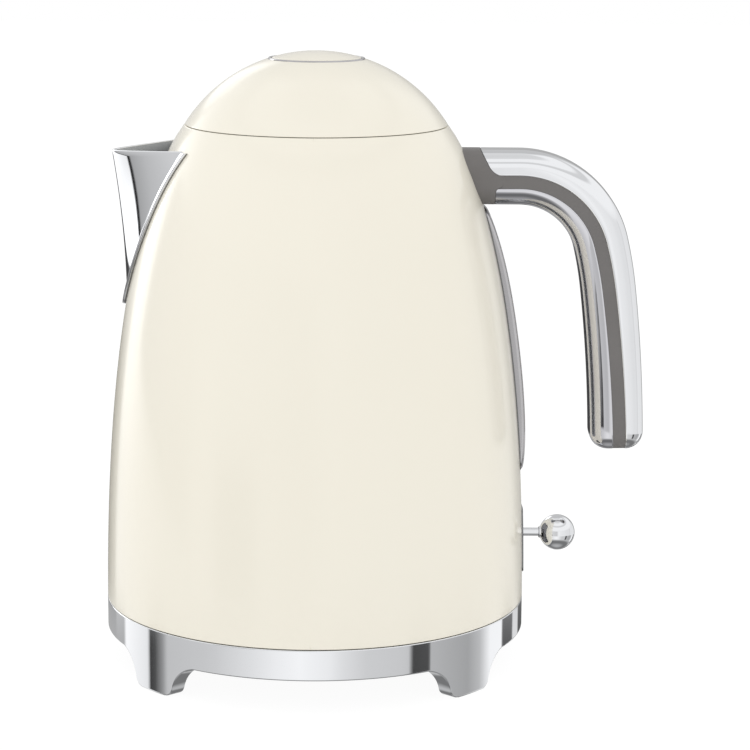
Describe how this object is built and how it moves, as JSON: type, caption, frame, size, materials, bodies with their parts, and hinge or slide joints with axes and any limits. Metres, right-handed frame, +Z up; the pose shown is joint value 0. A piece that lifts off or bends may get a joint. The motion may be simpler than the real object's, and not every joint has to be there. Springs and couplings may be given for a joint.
{
  "type": "electric kettle",
  "caption": "Domed electric kettle on a round power base with feet: hinged lid with push button, V spout, hook handle, water gauge and ball lever switch.",
  "frame": {"origin": "middle of the whole outline on the table, under the pads of the power base", "axes": "+Z up, +X towards the handle, -X towards the spout, +Y to the cord outlet's side"},
  "size_m": [0.2195, 0.1714, 0.2494],
  "materials": {
    "cream_paint": "gloss enamel",
    "polished_chrome": "mirror plated",
    "grey_plastic": "satin moulded",
    "black_plastic": "satin moulded",
    "ivory_plastic": "moulded",
    "clear_plastic": "clear moulded",
    "steel": "plain stainless",
    "screw_steel": "zinc plated",
    "aluminium": "rolled",
    "brass": "plain",
    "rubber": "matt",
    "wire_insulation": "extruded"
  },
  "bodies": {
    "power_base": {"base_ring": "polished_chrome", "base_deck": "grey_plastic", "base_cover": "black_plastic", "foot_pads": "rubber", "base_connector": "black_plastic", "base_contacts": "brass", "base_leads": "wire_insulation", "base_screws": "screw_steel", "cord_outlet": "black_plastic"},
    "socket": {"kettle_socket": "black_plastic", "socket_pins": "brass"},
    "kettle": {"body_shell": "cream_paint", "bottom_housing": "black_plastic", "heater_plate": "steel", "heat_spreader": "aluminium", "heating_element": "steel", "element_terminals": "brass", "control_unit": "ivory_plastic", "control_screws": "screw_steel", "bimetal_discs": "steel", "steam_tube": "steel", "lever_bracket": "black_plastic", "lever_pin": "steel", "lever_plate": "polished_chrome", "spout": "polished_chrome", "spout_trim": "polished_chrome", "top_collar": "grey_plastic", "hinge_pin": "steel", "lid_spring": "steel", "handle_core": "grey_plastic", "handle_outer_shell": "polished_chrome", "handle_inner_shell": "polished_chrome", "handle_screws": "screw_steel", "gauge_frame": "polished_chrome", "gauge_window": "clear_plastic", "gauge_seal": "rubber"},
    "lever": {"lever": "polished_chrome", "lever_ball": "polished_chrome"},
    "trip_link": {"trip_link": "ivory_plastic"},
    "filter": {"filter_frame": "black_plastic", "filter_mesh": "steel"},
    "lid": {"lid_dome": "cream_paint", "lid_inner": "grey_plastic", "lid_seal": "rubber", "lid_guide": "grey_plastic", "lid_screws": "screw_steel", "button_ring": "polished_chrome", "button_spring": "steel"},
    "lid_button": {"lid_button": "cream_paint"},
    "latch": {"latch_bolt": "steel"}
  },
  "joints": [
    {"name": "kettle_lift", "type": "slide", "parent": "power_base", "child": "socket", "axis": [0, 0, 1], "range_m": [0, 0.12]},
    {"name": "kettle_swivel", "type": "hinge", "parent": "socket", "child": "kettle", "pos_m": [-0.02412, 0, 0.03], "axis": [0, 0, 1], "continuous": true},
    {"name": "lid_hinge", "type": "hinge", "parent": "kettle", "child": "lid", "pos_m": [0.02991, 0, 0.2099], "axis": [0, 1, 0], "range_deg": [0, 80]},
    {"name": "lever_tilt", "type": "hinge", "parent": "kettle", "child": "lever", "pos_m": [0.04588, 0, 0.0519], "axis": [0, 1, 0], "range_deg": [0, 18]},
    {"name": "trip_slide", "type": "slide", "parent": "kettle", "child": "trip_link", "axis": [-1, 0, 0], "range_m": [0, 0.0026]},
    {"name": "filter_slide", "type": "slide", "parent": "kettle", "child": "filter", "axis": [1, 0, 0], "range_m": [0, 0.02]},
    {"name": "button_press", "type": "slide", "parent": "lid", "child": "lid_button", "axis": [0, 0, -1], "range_m": [0, 0.003], "stiffness_N_per_m": 500, "springref_m": -0.004, "deforming": ["button_spring"]},
    {"name": "latch_draw", "type": "slide", "parent": "lid", "child": "latch", "axis": [1, 0, 0], "range_m": [0, 0.003]}
  ],
  "couplings": [
    {"joint": "latch_draw", "follows": "button_press", "ratio": 1},
    {"joint": "trip_slide", "follows": "lever_tilt", "m_per_rad": 0.008}
  ]
}
